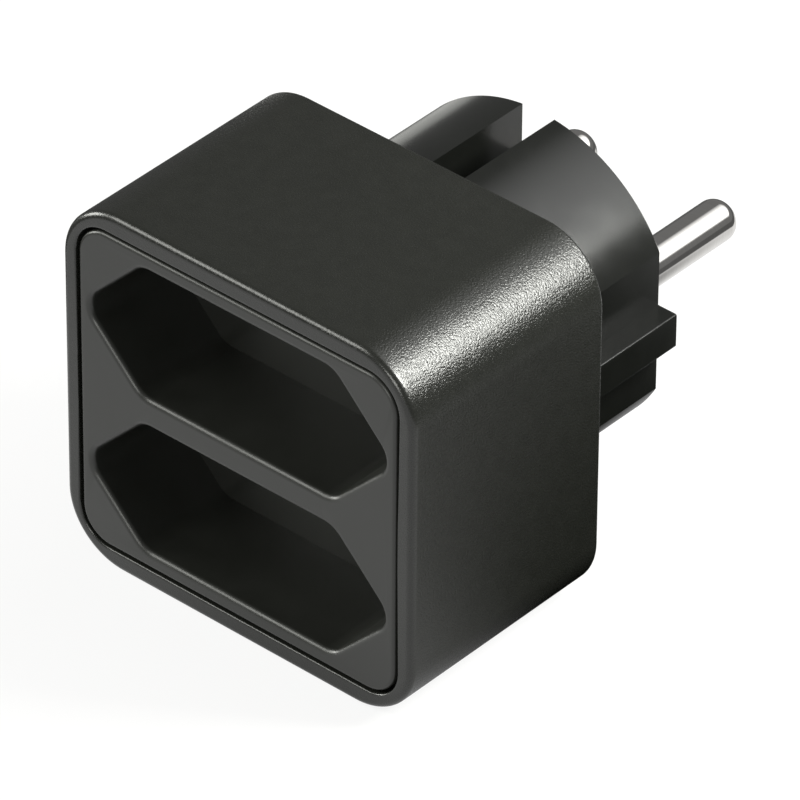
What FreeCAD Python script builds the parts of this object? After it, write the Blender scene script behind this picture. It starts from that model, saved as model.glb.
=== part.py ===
"""Two-way adapter: two recessed two-pin sockets one above the other, on a round contoured mains plug.

Lengths are in millimetres. +X is to the right as the sockets are faced, +Y runs from the sockets to
the tips of the plug pins, and +Z is up. The origin is the centre of the plug's end face, on its axis.

The case is a textured sleeve. The plug body drops into it from the front, as far as its flange, and
the socket insert snaps in after it. Between them lie the contacts, in a carrier, and the two sliding
shutters that close the sockets while nothing is plugged in.
"""
import FreeCAD, Part
import math
import os
import Sketcher

SIZES = {
    "body_width": 47.2,
    "body_height": 44.6,
    "body_depth": 28.9,
    "body_corner": 7.6,
    "body_front_round": 0.8,
    "body_back_bevel": 0.4,
    "side_wall": 1.9,
    "top_wall": 2.3,
    "rear_wall": 1.8,
    "opening_corner": 4.1,
    "opening_bevel": 0.25,
    "panel_gap": 0.35,
    "panel_thickness": 2.0,
    "panel_bevel": 0.35,
    "well_margin": 1.9,
    "well_tip_margin": 1.55,
    "well_rib": 3.5,
    "well_side_angle": 45.0,
    "well_depth": 12.5,
    "well_wall": 1.8,
    "well_tip_round": 2.6,
    "well_corner_round": 3.0,
    "well_lip_round": 0.7,
    "floor_thickness": 1.5,
    "socket_spacing": 19.0,
    "socket_hole_radius": 2.3,
    "shutter_space": 3.4,
    "shutter_half_height": 4.2,
    "shutter_lap": 0.2,
    "shutter_web": 1.4,
    "shutter_ramp_depth": 2.4,
    "slide_gap": 0.1,
    "rail_thickness": 1.2,
    "channel_end_wall": 1.35,
    "spring_radius": 1.2,
    "spring_wire_radius": 0.18,
    "spigot_radius": 0.8,
    "spigot_length": 1.0,
    "boss_radius": 2.0,
    "boss_spacing": 20.0,
    "peg_radius": 1.0,
    "peg_head_radius": 1.6,
    "peg_head_thickness": 0.6,
    "retainer_thickness": 0.9,
    "hook_arm_thickness": 1.2,
    "hook_half_width": 2.5,
    "hook_nose": 0.9,
    "hook_length": 2.7,
    "hook_end": 12.5,
    "inner_gap": 0.3,
    "busbar_half_width": 3.6,
    "busbar_overhang": 4.85,
    "busbar_thickness": 0.8,
    "clip_half_width": 3.3,
    "clip_half_height": 2.9,
    "clip_strip": 0.5,
    "clip_throat": 1.8,
    "clip_leaf_half_height": 2.4,
    "clip_end_gap": 0.25,
    "rivet_radius": 0.9,
    "rivet_head_radius": 1.5,
    "rivet_head_thickness": 0.5,
    "plug_rise": 0.5,
    "plug_length": 17.6,
    "plug_radius": 18.6,
    "plug_flat_depth": 2.1,
    "plug_wall": 2.0,
    "plug_face_thickness": 3.0,
    "plug_edge_bevel": 0.3,
    "flange_thickness": 1.6,
    "guide_height": 2.5,
    "guide_half_width": 2.05,
    "slot_half_width": 2.15,
    "slot_depth": 6.4,
    "slot_wall": 1.6,
    "pin_spacing": 19.0,
    "pin_radius": 2.4,
    "pin_length": 19.0,
    "pin_tip_round": 1.8,
    "pin_recess_radius": 3.4,
    "pin_recess_depth": 0.5,
    "pin_neck_step": 0.3,
    "pin_collar_radius": 3.0,
    "pin_collar_thickness": 1.2,
    "pin_tail_radius": 1.5,
    "pin_head_radius": 2.2,
    "pin_head_thickness": 0.6,
    "bridge_depth": 6.0,
    "bridge_half_height": 4.4,
    "fit_gap": 0.05,
}

SPRING_HALF_TURNS = 11
WIRE_SIDES = 6

# Half sizes of the sleeve's opening, and of what slides into it.
OPENING_X = "(Sizes.body_width / 2 - Sizes.side_wall)"
OPENING_Z = "(Sizes.body_height / 2 - Sizes.top_wall)"
INNER_X = f"({OPENING_X} - Sizes.inner_gap)"
INNER_Z = f"({OPENING_Z} - Sizes.inner_gap)"
PANEL_X = f"({OPENING_X} - Sizes.panel_gap)"
PANEL_Z = f"({OPENING_Z} - Sizes.panel_gap)"

# Both wells share the panel's height, and their slanted sides meet in a rounded tip at each end.
WELL_TOP = f"(({PANEL_Z} - Sizes.well_margin - Sizes.well_rib / 2) / 2)"
WELL_Z = f"(Sizes.well_rib / 2 + {WELL_TOP})"
SIDE_ANGLE = "Sizes.well_side_angle"
WELL_TIP = f"({PANEL_X} - Sizes.well_tip_margin + Sizes.well_tip_round * (1 / sin({SIDE_ANGLE}) - 1))"
WELL_FLAT = f"({WELL_TIP} - {WELL_TOP} / tan({SIDE_ANGLE}))"

# Depths behind the front face, in the order in which the pieces are stacked.
FLOOR_BACK = "(Sizes.well_depth + Sizes.floor_thickness)"
RETAINER_FRONT = f"({FLOOR_BACK} + Sizes.shutter_space)"
CARRIER_FRONT = f"({RETAINER_FRONT} + Sizes.retainer_thickness)"
CARRIER_BACK = "(Sizes.body_depth - Sizes.rear_wall - Sizes.flange_thickness)"
BUSBAR_BACK = f"({CARRIER_BACK} - Sizes.slide_gap)"
BUSBAR_FRONT = f"({BUSBAR_BACK} - Sizes.busbar_thickness)"
PLUG_FACE = "(Sizes.body_depth + Sizes.plug_length)"

# A shutter slides by the width of the land that covers a hole.
LAND = "(2 * (Sizes.socket_hole_radius + Sizes.shutter_lap))"
SHUTTER_RIGHT = f"(Sizes.socket_spacing / 2 + {LAND} / 2)"
SHUTTER_LEFT = f"(-Sizes.socket_spacing / 2 - 1.5 * {LAND} - Sizes.shutter_web)"
SHUTTER_THICKNESS = "(Sizes.shutter_space - 2 * Sizes.slide_gap)"
WINDOW_Z = "(Sizes.socket_hole_radius + 2 * Sizes.shutter_lap)"
CHANNEL_RIGHT = f"({PANEL_X} - Sizes.channel_end_wall)"
CHANNEL_LEFT = f"({SHUTTER_LEFT} - Sizes.slide_gap)"
CHANNEL_Z = "(Sizes.shutter_half_height + Sizes.slide_gap)"

# The barrel's cuts and ribs are measured from its round face.
PLUG_FLAT = "(Sizes.plug_radius - Sizes.plug_flat_depth)"
GUIDE_REACH = f"({PLUG_FLAT} + Sizes.guide_height)"
SLOT_FLOOR = "(Sizes.plug_radius - Sizes.slot_depth)"

# A clip's base ends just short of the pin's riveted head.
CLIP_BASE = f"({WELL_Z} - Sizes.plug_rise - Sizes.pin_head_radius - Sizes.clip_end_gap)"
RIVET_OFFSET = f"({CLIP_BASE} - Sizes.rivet_head_radius - Sizes.inner_gap)"
BUSBAR_HALF_LENGTH = f"({WELL_Z} + Sizes.busbar_overhang)"

doc = FreeCAD.newDocument("Adapter")
sheet = doc.addObject("Spreadsheet::Sheet", "Sizes")
for row, (alias, number) in enumerate(SIZES.items(), 1):
    sheet.set(f"A{row}", alias)
    sheet.set(f"B{row}", str(number))
    sheet.setAlias(f"B{row}", alias)
doc.recompute()


def value(text):
    """Works out an expression over the sheet's sizes."""
    return float(sheet.evalExpression(text))


def bind(thing, name, text):
    """Ties a property or a constraint to an expression over the sheet."""
    thing.setExpression(name, text)


def place(thing, x="0", y="0", z="0"):
    """Ties the place of a finished piece to the sheet."""
    for axis, text in zip("xyz", (x, y, z)):
        bind(thing, f"Placement.Base.{axis}", text)


def place_in_box(thing, x="0", y="0", z="0"):
    """Places a piece that is measured from the middle of the case's front face."""
    place(thing, x, f"{y} - {PLUG_FACE}", f"{z} - Sizes.plug_rise")


def tie(sketch, constraint, text):
    """Adds a constraint and ties its value to an expression."""
    number = sketch.addConstraint(constraint)
    bind(sketch, f"Constraints[{number}]", text)


def tie_point(sketch, geometry, position, texts):
    """Ties both coordinates of a point of the sketch to expressions."""
    for kind, text in zip(("DistanceX", "DistanceY"), texts):
        tie(sketch, Sketcher.Constraint(kind, -1, 1, geometry, position, value(text)), text)


def add_loop(sketch, corners):
    """Draws one closed outline, anticlockwise, with a corner as (x, y) or rounded as (x, y, radius).

    Each straight side runs between the tangent points of the arcs at its ends. A rounded corner keeps
    its sharp point as construction geometry, which is tied to the sheet and lies on both sides.
    """
    count = len(corners)
    sharp = [FreeCAD.Vector(value(corner[0]), value(corner[1]), 0) for corner in corners]
    radii = [value(corner[2]) if len(corner) > 2 else 0.0 for corner in corners]
    heading = [(sharp[(index + 1) % count] - sharp[index]).normalize() for index in range(count)]
    setback = [radii[index] * math.tan(heading[index - 1].getAngle(heading[index]) / 2)
               for index in range(count)]
    sides = []
    for index in range(count):
        following = (index + 1) % count
        sides.append(sketch.addGeometry(Part.LineSegment(
            sharp[index] + heading[index] * setback[index],
            sharp[following] - heading[index] * setback[following])))
    for index, corner in enumerate(corners):
        arriving, leaving = sides[index - 1], sides[index]
        if not radii[index]:
            sketch.addConstraint(Sketcher.Constraint("Coincident", arriving, 2, leaving, 1))
            tie_point(sketch, leaving, 1, corner)
            continue
        start = sharp[index] - heading[index - 1] * setback[index]
        inwards = FreeCAD.Vector(-heading[index - 1].y, heading[index - 1].x, 0)
        centre = start + inwards * radii[index]
        first = math.atan2(-inwards.y, -inwards.x)
        turn = heading[index - 1].getAngle(heading[index])
        whole = Part.Circle(centre, FreeCAD.Vector(0, 0, 1), radii[index])
        arc = sketch.addGeometry(Part.ArcOfCircle(whole, first, first + turn))
        point = sketch.addGeometry(Part.Point(sharp[index]), True)
        tie_point(sketch, point, 1, corner[:2])
        tie(sketch, Sketcher.Constraint("Radius", arc, radii[index]), corner[2])
        sketch.addConstraint(Sketcher.Constraint("PointOnObject", point, 1, arriving))
        sketch.addConstraint(Sketcher.Constraint("PointOnObject", point, 1, leaving))
        sketch.addConstraint(Sketcher.Constraint("Tangent", arriving, 2, arc, 1))
        sketch.addConstraint(Sketcher.Constraint("Tangent", arc, 2, leaving, 1))


def outline(*loops):
    """One or more closed outlines in one sketch."""
    def draw(sketch):
        for corners in loops:
            add_loop(sketch, corners)
    return draw


def box_loop(left, right, bottom, top):
    """The corners of an upright rectangle between two pairs of expressions."""
    return [(left, bottom), (right, bottom), (right, top), (left, top)]


def rectangle(left, right, bottom, top):
    """An upright rectangle."""
    return outline(box_loop(left, right, bottom, top))


def centred_rectangle(half_width, half_height, middle="0"):
    """A rectangle about the vertical axis, at a height of its own."""
    return rectangle(f"-{half_width}", half_width,
                     f"{middle} - {half_height}", f"{middle} + {half_height}")


def rounded_rectangle(half_width, half_height, corner, middle="0"):
    """A rectangle about the vertical axis with rounded corners."""
    loop = box_loop(f"-{half_width}", half_width, f"{middle} - {half_height}",
                    f"{middle} + {half_height}")
    return outline([(across, up, corner) for across, up in loop])


def circles(radius, centres):
    """Equal circles at the given centres."""
    def draw(sketch):
        for index, texts in enumerate(centres):
            centre = FreeCAD.Vector(value(texts[0]), value(texts[1]), 0)
            sketch.addGeometry(Part.Circle(centre, FreeCAD.Vector(0, 0, 1), value(radius)))
            tie_point(sketch, index, 3, texts)
            tie(sketch, Sketcher.Constraint("Radius", index, value(radius)), radius)
    return draw


def flatted_circle(radius, flat, middle="0"):
    """A circle cut off by two upright flats, left and right."""
    def draw(sketch):
        centre = FreeCAD.Vector(0, value(middle), 0)
        start = math.acos(value(flat) / value(radius))
        whole = Part.Circle(centre, FreeCAD.Vector(0, 0, 1), value(radius))
        right_low, right_high, left_high, left_low = (
            whole.value(angle) for angle in (-start, start, math.pi - start, math.pi + start))
        sketch.addGeometry(Part.LineSegment(right_low, right_high))
        sketch.addGeometry(Part.ArcOfCircle(whole, start, math.pi - start))
        sketch.addGeometry(Part.LineSegment(left_high, left_low))
        sketch.addGeometry(Part.ArcOfCircle(whole, math.pi + start, 2 * math.pi - start))
        for index in range(4):
            sketch.addConstraint(Sketcher.Constraint("Coincident", index, 2, (index + 1) % 4, 1))
        for line, text in ((0, flat), (2, f"-{flat}")):
            for end in (1, 2):
                tie(sketch, Sketcher.Constraint("DistanceX", -1, 1, line, end, value(text)), text)
        for arc in (1, 3):
            sketch.addConstraint(Sketcher.Constraint("DistanceX", -1, 1, arc, 3, 0.0))
            tie(sketch, Sketcher.Constraint("DistanceY", -1, 1, arc, 3, value(middle)), middle)
            tie(sketch, Sketcher.Constraint("Radius", arc, value(radius)), radius)
    return draw


def new_body(name):
    """An empty body whose label is the node's name."""
    body = doc.addObject("PartDesign::Body", name)
    body.Label = name
    return body


def origin_plane(body, role):
    """One of the body's own three planes."""
    return next(item for item in body.Origin.OriginFeatures if item.Role == role)


def sketch_on(body, name, draw, role, level):
    """Draws an outline on one of the body's planes, moved to the given level along the axis."""
    sketch = body.newObject("Sketcher::SketchObject", f"{body.Name}_{name}_outline")
    sketch.AttachmentSupport = [(origin_plane(body, role), "")]
    sketch.MapMode = "FlatFace"
    # The XZ plane faces -Y, so a level along +Y is a negative offset from it.
    bind(sketch, "AttachmentOffset.Base.z", f"-({level})" if role == "XZ_Plane" else level)
    draw(sketch)
    return sketch


def extrude(body, kind, name, draw, start, end, role="XZ_Plane"):
    """Adds or cuts a prism that runs from start to end along the axis square to the plane."""
    before = body.Shape.Volume if body.Tip else 0.0
    sketch = sketch_on(body, name, draw, role, start)
    feature = body.newObject(f"PartDesign::{kind}", f"{body.Name}_{name}")
    feature.Profile = sketch
    feature.Reversed = (kind == "Pad") == (role == "XZ_Plane")
    bind(feature, "Length", f"({end}) - ({start})")
    sketch.Visibility = False
    body.Tip = feature
    doc.recompute()
    grown = body.Shape.Volume - before
    if (grown > 0) != (kind == "Pad"):
        raise RuntimeError(f"{feature.Name} changed the volume by {grown:.3f}")
    return feature


def pad(body, name, draw, start, end, role="XZ_Plane"):
    return extrude(body, "Pad", name, draw, start, end, role)


def pocket(body, name, draw, start, end, role="XZ_Plane"):
    return extrude(body, "Pocket", name, draw, start, end, role)


def mirror(body, name, features, role):
    """Repeats features on the other side of one of the body's planes."""
    mirrored = body.newObject("PartDesign::Mirrored", f"{body.Name}_{name}")
    mirrored.Originals = features
    mirrored.MirrorPlane = (origin_plane(body, role), [""])
    body.Tip = mirrored
    doc.recompute()
    return mirrored


def dress_edges(body, kind, name, measure, size, wanted):
    """Rounds or bevels the edges of the body so far that the test picks."""
    base = body.Tip
    picked = [f"Edge{number}" for number, edge in enumerate(base.Shape.Edges, 1) if wanted(edge)]
    if not picked:
        raise RuntimeError(f"{body.Name}_{name} has no edges to work on")
    feature = body.newObject(f"PartDesign::{kind}", f"{body.Name}_{name}")
    feature.Base = (base, picked)
    bind(feature, measure, size)
    body.Tip = feature
    doc.recompute()
    return feature


def round_edges(body, name, radius, wanted):
    return dress_edges(body, "Fillet", name, "Radius", radius, wanted)


def bevel_edges(body, name, size, wanted):
    return dress_edges(body, "Chamfer", name, "Size", size, wanted)


def lies_at(edge, depth):
    """Whether an edge lies in the plane at that depth."""
    return all(abs(vertex.Y - depth) < 1e-4 for vertex in edge.Vertexes)


def outer_sleeve():
    """The textured case: an open-fronted shell whose rear wall holds the plug body's flange."""
    body = new_body("outer_sleeve")
    pad(body, "case",
        rounded_rectangle("(Sizes.body_width / 2)", "(Sizes.body_height / 2)", "Sizes.body_corner"),
        "0", "Sizes.body_depth")
    round_edges(body, "front_round", "Sizes.body_front_round", lambda edge: lies_at(edge, 0))
    bevel_edges(body, "back_bevel", "Sizes.body_back_bevel",
                lambda edge: lies_at(edge, value("Sizes.body_depth")))
    pocket(body, "opening", rounded_rectangle(OPENING_X, OPENING_Z, "Sizes.opening_corner"),
           "0", "Sizes.body_depth - Sizes.rear_wall")

    def on_opening(edge):
        inside = abs(edge.CenterOfMass.x) < value(OPENING_X) + 1e-3
        return lies_at(edge, 0) and inside and abs(edge.CenterOfMass.z) < value(OPENING_Z) + 1e-3
    bevel_edges(body, "opening_bevel", "Sizes.opening_bevel", on_opening)
    pocket(body, "plug_hole",
           flatted_circle("(Sizes.plug_radius + Sizes.fit_gap)", f"({PLUG_FLAT} + Sizes.fit_gap)",
                          "Sizes.plug_rise"),
           "Sizes.body_depth - Sizes.rear_wall", "Sizes.body_depth")
    pocket(body, "guide_notches",
           centred_rectangle(f"({GUIDE_REACH} + Sizes.fit_gap)",
                             "(Sizes.guide_half_width + Sizes.fit_gap)", "Sizes.plug_rise"),
           "Sizes.body_depth - Sizes.rear_wall", "Sizes.body_depth")
    hook_top = "(Sizes.hook_half_width + Sizes.inner_gap)"
    pocket(body, "hook_seats",
           centred_rectangle(f"({PANEL_X} + Sizes.hook_nose + Sizes.slide_gap)", hook_top),
           "Sizes.hook_end - Sizes.hook_length - Sizes.slide_gap",
           "Sizes.hook_end + Sizes.slide_gap")
    place_in_box(body)
    return body


def well_loop(offset, reach):
    """The six-sided outline of a well, moved outwards by the offset and cut off at the reach."""
    flat = f"({WELL_FLAT} + {offset} * tan({SIDE_ANGLE} / 2))"
    top = f"({WELL_TOP} + {offset})"
    side = f"({top} - ({reach} - {flat}) * tan({SIDE_ANGLE}))"
    return [(reach, f"{WELL_Z} + {side}"), (flat, f"{WELL_Z} + {top}"),
            (f"-{flat}", f"{WELL_Z} + {top}"), (f"-{reach}", f"{WELL_Z} + {side}"),
            (f"-{reach}", f"{WELL_Z} - {side}"), (f"-{flat}", f"{WELL_Z} - {top}"),
            (flat, f"{WELL_Z} - {top}"), (reach, f"{WELL_Z} - {side}")]


def nose_loop():
    """The six-sided outline that a plug's nose enters, with all its corners rounded."""
    top, bottom = f"{WELL_Z} + {WELL_TOP}", f"{WELL_Z} - {WELL_TOP}"
    corner, point = "Sizes.well_corner_round", "Sizes.well_tip_round"
    return [(WELL_TIP, WELL_Z, point), (WELL_FLAT, top, corner), (f"-{WELL_FLAT}", top, corner),
            (f"-{WELL_TIP}", WELL_Z, point), (f"-{WELL_FLAT}", bottom, corner),
            (WELL_FLAT, bottom, corner)]


def socket_insert():
    """The front panel with both wells, the shutter channels behind them and two snap hooks."""
    body = new_body("socket_insert")
    pad(body, "panel",
        rounded_rectangle(PANEL_X, PANEL_Z, "(Sizes.opening_corner - Sizes.panel_gap)"),
        "0", "Sizes.panel_thickness")
    shell = pad(body, "well_shell", outline(well_loop("Sizes.well_wall", PANEL_X)),
                "0", FLOOR_BACK)
    frame = pad(body, "channel_block",
                centred_rectangle(PANEL_X, f"({CHANNEL_Z} + Sizes.rail_thickness)", WELL_Z),
                FLOOR_BACK, RETAINER_FRONT)
    channel = pocket(body, "channel",
                     rectangle(CHANNEL_LEFT, CHANNEL_RIGHT,
                               f"{WELL_Z} - {CHANNEL_Z}", f"{WELL_Z} + {CHANNEL_Z}"),
                     FLOOR_BACK, RETAINER_FRONT)
    spigot_y = f"({FLOOR_BACK} + Sizes.shutter_space / 2)"
    spigot = pad(body, "spring_spigot", circles("Sizes.spigot_radius", [(spigot_y, WELL_Z)]),
                 f"{CHANNEL_RIGHT} - Sizes.spigot_length", CHANNEL_RIGHT, "YZ_Plane")
    well = pocket(body, "well", outline(nose_loop()), "0", "Sizes.well_depth")
    holes = pocket(body, "pin_holes",
                   circles("Sizes.socket_hole_radius",
                           [("Sizes.socket_spacing / 2", WELL_Z),
                            ("-Sizes.socket_spacing / 2", WELL_Z)]),
                   "Sizes.well_depth", FLOOR_BACK)
    mirror(body, "lower_socket", [shell, frame, channel, spigot, well, holes], "XY_Plane")
    boss_places = [("Sizes.boss_spacing / 2", "0"), ("-Sizes.boss_spacing / 2", "0")]
    pad(body, "bosses", circles("Sizes.boss_radius", boss_places), FLOOR_BACK, RETAINER_FRONT)
    pad(body, "pegs", circles("Sizes.peg_radius", boss_places), RETAINER_FRONT, CARRIER_FRONT)
    pad(body, "peg_heads", circles("Sizes.peg_head_radius", boss_places), CARRIER_FRONT,
        f"{CARRIER_FRONT} + Sizes.peg_head_thickness")

    arm = pad(body, "hook_arm",
              rectangle(f"{PANEL_X} - Sizes.hook_arm_thickness", PANEL_X,
                        "-Sizes.hook_half_width", "Sizes.hook_half_width"),
              "Sizes.panel_thickness", "Sizes.hook_end")
    heel = "Sizes.hook_end - Sizes.hook_length"
    nose = pad(body, "hook_nose",
               outline([(PANEL_X, heel), (f"{PANEL_X} + Sizes.hook_nose", heel),
                        (PANEL_X, "Sizes.hook_end")]),
               "-Sizes.hook_half_width", "Sizes.hook_half_width", "XY_Plane")
    mirror(body, "left_hook", [arm, nose], "YZ_Plane")

    well_reach = value(f"{WELL_Z} + {WELL_TOP}") + 1e-3

    def on_lip(edge):
        middle = edge.CenterOfMass
        in_panel = abs(middle.z) < well_reach and abs(middle.x) < value(PANEL_X) - 1e-3
        return lies_at(edge, 0) and in_panel

    round_edges(body, "well_lips", "Sizes.well_lip_round", on_lip)
    bevel_edges(body, "panel_bevel", "Sizes.panel_bevel",
                lambda edge: lies_at(edge, 0) and is_on_panel_rim(edge))
    place_in_box(body)
    return body


def is_on_panel_rim(edge):
    """Whether an edge of the front face belongs to the panel's outer outline."""
    middle = edge.CenterOfMass
    corner = value("Sizes.opening_corner - Sizes.panel_gap")
    beyond_side = abs(middle.x) > value(PANEL_X) - corner / 2
    beyond_top = abs(middle.z) > value(PANEL_Z) - 1e-3
    in_corner = abs(middle.z) > value(PANEL_Z) - corner / 2
    on_side = abs(middle.x) > value(PANEL_X) - 1e-3
    return beyond_top or on_side or (beyond_side and in_corner)


def plug_body():
    """The contoured plug: a hollow round body with flats, guide ribs and two earth-clip slots."""
    body = new_body("plug_body")
    flange_back = "-Sizes.plug_length - Sizes.rear_wall"
    flange_front = f"{flange_back} - Sizes.flange_thickness"
    inner_face = "-Sizes.plug_face_thickness"
    pad(body, "flange",
        rounded_rectangle(INNER_X, INNER_Z, "Sizes.opening_corner", "-Sizes.plug_rise"),
        flange_front, flange_back)
    pad(body, "barrel", flatted_circle("Sizes.plug_radius", PLUG_FLAT), flange_back, "0")
    pad(body, "guides", centred_rectangle(GUIDE_REACH, "Sizes.guide_half_width"), flange_back, "0")
    pocket(body, "hollow",
           flatted_circle("(Sizes.plug_radius - Sizes.plug_wall)", f"({PLUG_FLAT} - Sizes.plug_wall)"),
           flange_front, inner_face)
    wall_x = "(Sizes.slot_half_width + Sizes.slot_wall)"
    wall_top = "sqrt((Sizes.plug_radius - Sizes.plug_wall / 2) ^ 2 - Sizes.slot_half_width ^ 2)"
    slot_walls = pad(body, "slot_walls",
                     rectangle(f"-{wall_x}", wall_x, f"{SLOT_FLOOR} - Sizes.slot_wall", wall_top),
                     flange_front, inner_face)
    slot = pocket(body, "slot",
                  rectangle("-Sizes.slot_half_width", "Sizes.slot_half_width", SLOT_FLOOR,
                            "Sizes.plug_radius + 1"),
                  flange_back, "0")
    mirror(body, "lower_slot", [slot_walls, slot], "XY_Plane")
    pin_places = [("Sizes.pin_spacing / 2", "0"), ("-Sizes.pin_spacing / 2", "0")]
    pocket(body, "pin_holes", circles("(Sizes.pin_radius + Sizes.fit_gap)", pin_places),
           inner_face, "0")
    pocket(body, "pin_recesses", circles("Sizes.pin_recess_radius", pin_places),
           "-Sizes.pin_recess_depth", "0")

    def on_rim(edge):
        return lies_at(edge, 0) and len(edge.Vertexes) > 1
    bevel_edges(body, "edge_bevel", "Sizes.plug_edge_bevel", on_rim)
    place(body)
    return body


def contact_pin(name, side):
    """A solid plug pin: a neck held by the pin bridge, a collar behind it and a riveted tail."""
    body = new_body(name)
    bridge_back = "(-Sizes.plug_face_thickness - Sizes.bridge_depth)"
    collar_back = f"({bridge_back} - Sizes.pin_collar_thickness)"
    shoulder = f"({BUSBAR_BACK} - {PLUG_FACE})"
    head_back = f"({BUSBAR_FRONT} - {PLUG_FACE})"
    head_front = f"({head_back} - Sizes.pin_head_thickness)"
    neck_radius = "(Sizes.pin_radius - Sizes.pin_neck_step)"
    neck_front = "(-Sizes.pin_recess_depth / 2)"
    steps = [("Sizes.pin_radius", "Sizes.pin_length", neck_front),
             (neck_radius, neck_front, bridge_back),
             ("Sizes.pin_collar_radius", bridge_back, collar_back),
             ("Sizes.pin_radius", collar_back, shoulder),
             ("Sizes.pin_tail_radius", shoulder, head_back),
             ("Sizes.pin_head_radius", head_back, head_front)]
    profile = [("0", "Sizes.pin_length")]
    for radius, start, end in steps:
        profile += [(radius, start), (radius, end)]
    profile.append(("0", head_front))
    sketch = sketch_on(body, "profile", outline(profile), "XY_Plane", "0")
    turned = body.newObject("PartDesign::Revolution", f"{name}_turned")
    turned.Profile = sketch
    turned.ReferenceAxis = (sketch, ["V_Axis"])
    turned.Angle = 360
    body.Tip = turned
    doc.recompute()
    tip = value("Sizes.pin_length")
    round_edges(body, "tip_round", "Sizes.pin_tip_round", lambda edge: lies_at(edge, tip))
    place(body, f"{side} * Sizes.pin_spacing / 2")
    return body


def pin_bridge():
    """The block behind the plug's end face, moulded round the necks of both pins."""
    body = new_body("pin_bridge")
    half_width = f"({PLUG_FLAT} - Sizes.plug_wall - Sizes.slide_gap)"
    back = "-Sizes.plug_face_thickness - Sizes.bridge_depth"
    pad(body, "block",
        rounded_rectangle(half_width, "Sizes.bridge_half_height", "(0.9 * Sizes.bridge_half_height)"),
        back, "-Sizes.plug_face_thickness")
    pocket(body, "neck_holes",
           circles("(Sizes.pin_radius - Sizes.pin_neck_step + Sizes.fit_gap)",
                   [("Sizes.pin_spacing / 2", "0"), ("-Sizes.pin_spacing / 2", "0")]),
           back, "-Sizes.plug_face_thickness")
    place(body)
    return body


def shutter(name, side):
    """A sliding plate with two windows, and a ramp beside each that the plug's pins push on."""
    body = new_body(name)
    pad(body, "plate",
        rectangle(SHUTTER_LEFT, SHUTTER_RIGHT,
                  "-Sizes.shutter_half_height", "Sizes.shutter_half_height"),
        "0", SHUTTER_THICKNESS)
    for place_name, middle in (("right", "Sizes.socket_spacing / 2"),
                               ("left", "-Sizes.socket_spacing / 2")):
        foot = f"({middle} - {LAND} / 2)"
        pocket(body, f"{place_name}_window",
               rectangle(f"{foot} - {LAND}", foot, f"-{WINDOW_Z}", WINDOW_Z),
               "0", SHUTTER_THICKNESS)
        crest = f"({middle} + {LAND} / 2 - Sizes.shutter_web / 2)"
        pocket(body, f"{place_name}_ramp",
               outline([(foot, "0"), (crest, "0"), (foot, "Sizes.shutter_ramp_depth")]),
               f"-{WINDOW_Z}", WINDOW_Z, "XY_Plane")
    pad(body, "spigot", circles("Sizes.spigot_radius", [(f"{SHUTTER_THICKNESS} / 2", "0")]),
        SHUTTER_RIGHT, f"{SHUTTER_RIGHT} + Sizes.spigot_length", "YZ_Plane")
    place_in_box(body, "0", f"{FLOOR_BACK} + Sizes.slide_gap", f"{side} * {WELL_Z}")
    return body


def shutter_spring(name, side):
    """The wire spring that pushes a shutter shut, as half turns that climb along X.

    The wire is drawn with six sides, which is plain enough for a spring 2.8 mm across that never shows.
    """
    radius, wire = value("Sizes.spring_radius"), value("Sizes.spring_wire_radius")
    start = value(f"{SHUTTER_RIGHT} + Sizes.fit_gap") + wire
    end = value(f"{CHANNEL_RIGHT} - Sizes.fit_gap") - wire
    depth = value(f"{FLOOR_BACK} + Sizes.shutter_space / 2 - {PLUG_FACE}")
    height = value(f"{side} * {WELL_Z} - Sizes.plug_rise")
    climb = (end - start) / SPRING_HALF_TURNS

    def on_coil(half_turns):
        angle = half_turns * math.pi
        return FreeCAD.Vector(start + climb * half_turns,
                              depth + radius * math.cos(angle), height + radius * math.sin(angle))
    arcs = [Part.Arc(on_coil(index), on_coil(index + 0.5), on_coil(index + 1)).toShape()
            for index in range(SPRING_HALF_TURNS)]
    section = Part.makePolygon([
        FreeCAD.Vector(wire * math.cos(2 * math.pi * side_number / WIRE_SIDES),
                       wire * math.sin(2 * math.pi * side_number / WIRE_SIDES), 0)
        for side_number in range(WIRE_SIDES + 1)])
    heading = arcs[0].tangentAt(arcs[0].FirstParameter)
    section.Placement = FreeCAD.Placement(on_coil(0), FreeCAD.Rotation(FreeCAD.Vector(0, 0, 1), heading))
    spring = doc.addObject("Part::Feature", name)
    spring.Label = name
    spring.Shape = Part.Wire(arcs).makePipeShell([section], True, False)
    return spring


def shutter_retainer():
    """The thin plate, staked to the insert's pegs, that keeps both shutters in their channels."""
    body = new_body("shutter_retainer")
    pad(body, "plate", rounded_rectangle(INNER_X, INNER_Z, "Sizes.opening_corner"),
        RETAINER_FRONT, CARRIER_FRONT)
    pocket(body, "pin_holes", socket_circles("(Sizes.socket_hole_radius + Sizes.shutter_lap)"),
           RETAINER_FRONT, CARRIER_FRONT)
    pocket(body, "peg_holes",
           circles("(Sizes.peg_radius + Sizes.fit_gap)",
                   [("Sizes.boss_spacing / 2", "0"), ("-Sizes.boss_spacing / 2", "0")]),
           RETAINER_FRONT, CARRIER_FRONT)
    place_in_box(body)
    return body


def socket_circles(radius):
    """A circle round each of the four socket axes."""
    return circles(radius, [(f"{across} * Sizes.socket_spacing / 2", f"{up} * {WELL_Z}")
                            for across in (1, -1) for up in (1, -1)])


def side_box(side, half_width, bottom, top):
    """A rectangle about the contacts' line on the left or on the right."""
    middle = f"{side} * Sizes.socket_spacing / 2"
    return box_loop(f"{middle} - {half_width}", f"{middle} + {half_width}", bottom, top)


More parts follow.
